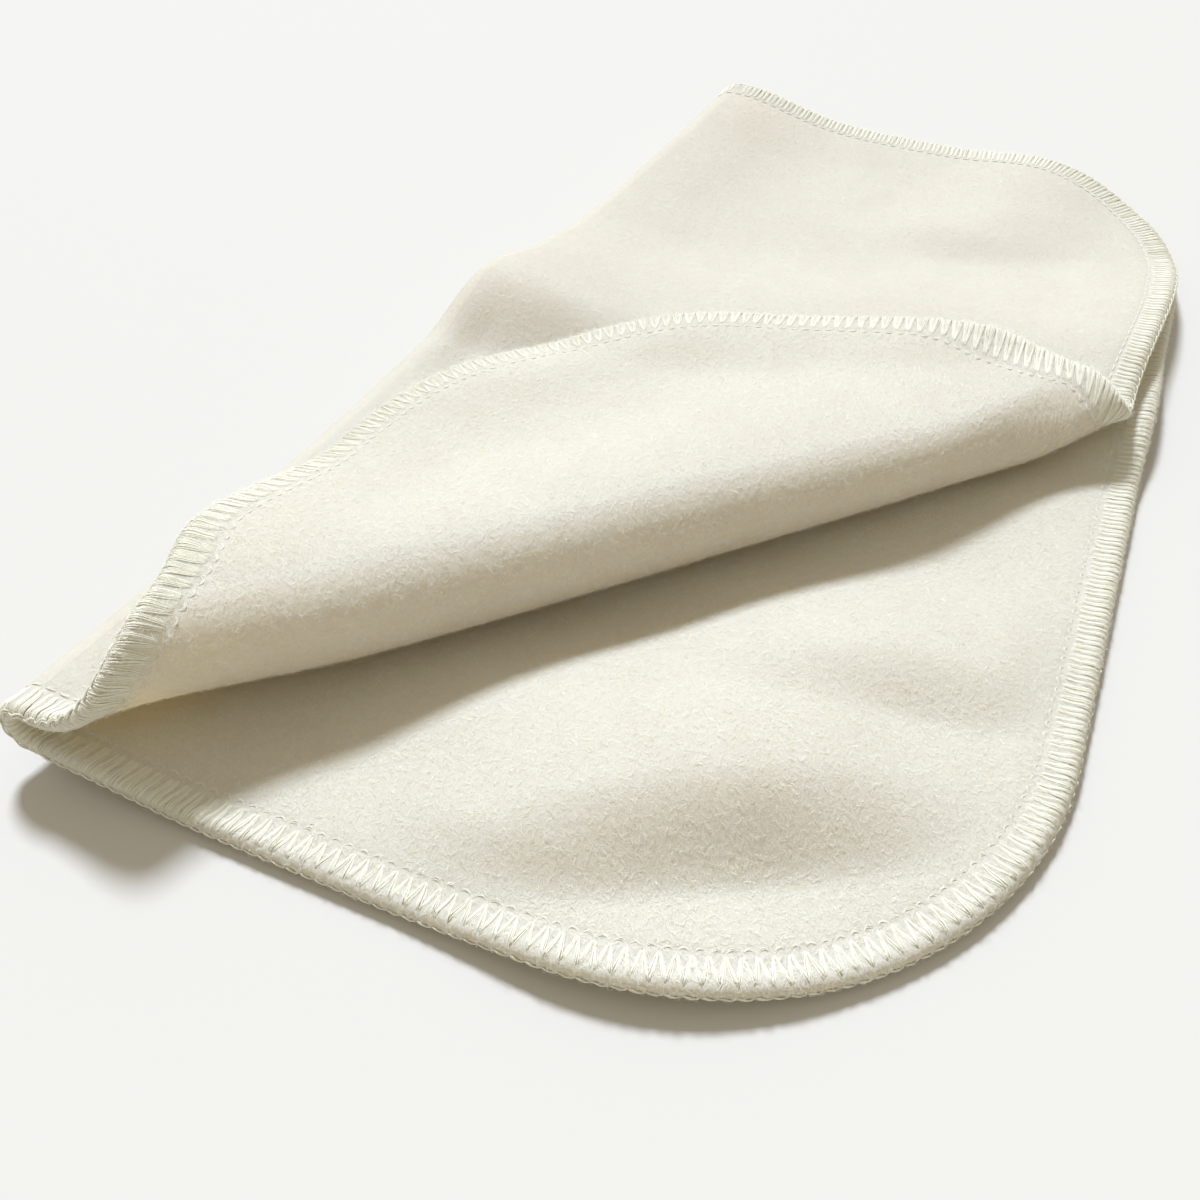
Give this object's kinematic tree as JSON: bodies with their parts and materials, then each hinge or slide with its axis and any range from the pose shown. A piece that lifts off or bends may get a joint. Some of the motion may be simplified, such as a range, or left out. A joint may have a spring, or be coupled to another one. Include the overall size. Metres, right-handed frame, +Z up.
{
  "type": "jewelry polishing cloth",
  "caption": "Folded flannel polishing cloth with rounded corners and an overlocked edge, its top corner turned back in a soft roll.",
  "frame": {"origin": "on the flat underside, below the middle of the folded cloth", "axes": "+Z up from the table, +Y along the crease from the turned front corner to the back, +X from the crease to the open side"},
  "size_m": [0.149, 0.2473, 0.0275],
  "materials": {
    "flannel": "matte",
    "needle_thread": "matte",
    "looper_thread": "satin"
  },
  "bodies": {
    "bottom_layer": {"bottom_panel": "flannel", "crease_fold": "flannel", "needle_thread_bottom": "needle_thread", "upper_looper_bottom": "looper_thread", "lower_looper_bottom": "looper_thread", "needle_thread_crease_front": "needle_thread", "upper_looper_crease_front": "looper_thread", "lower_looper_crease_front": "looper_thread", "needle_thread_crease_back": "needle_thread", "upper_looper_crease_back": "looper_thread", "lower_looper_crease_back": "looper_thread"},
    "top_layer": {"top_panel": "flannel", "flap_roll": "flannel", "needle_thread_top_front": "needle_thread", "upper_looper_top_front": "looper_thread", "lower_looper_top_front": "looper_thread", "needle_thread_top_back": "needle_thread", "upper_looper_top_back": "looper_thread", "lower_looper_top_back": "looper_thread", "needle_thread_roll_front": "needle_thread", "upper_looper_roll_front": "looper_thread", "lower_looper_roll_front": "looper_thread", "needle_thread_roll_back": "needle_thread", "upper_looper_roll_back": "looper_thread", "lower_looper_roll_back": "looper_thread"},
    "flap": {"flap_panel": "flannel", "needle_thread_flap": "needle_thread", "upper_looper_flap": "looper_thread", "lower_looper_flap": "looper_thread"}
  },
  "joints": [
    {"name": "crease_hinge", "type": "hinge", "parent": "bottom_layer", "child": "top_layer", "pos_m": [-0.06169, 0, 0.0072], "axis": [-0.0896, -0.996, 0], "range_deg": [0, 140], "deforming": ["crease_fold", "needle_thread_crease_front", "upper_looper_crease_front", "lower_looper_crease_front", "needle_thread_crease_back", "upper_looper_crease_back", "lower_looper_crease_back"]},
    {"name": "flap_hinge", "type": "hinge", "parent": "top_layer", "child": "flap", "pos_m": [0.00542, -0.04577, 0.01475], "axis": [0.691, 0.7221, -0.034], "range_deg": [0, 170], "deforming": ["flap_roll", "needle_thread_roll_front", "upper_looper_roll_front", "lower_looper_roll_front", "needle_thread_roll_back", "upper_looper_roll_back", "lower_looper_roll_back"]}
  ]
}
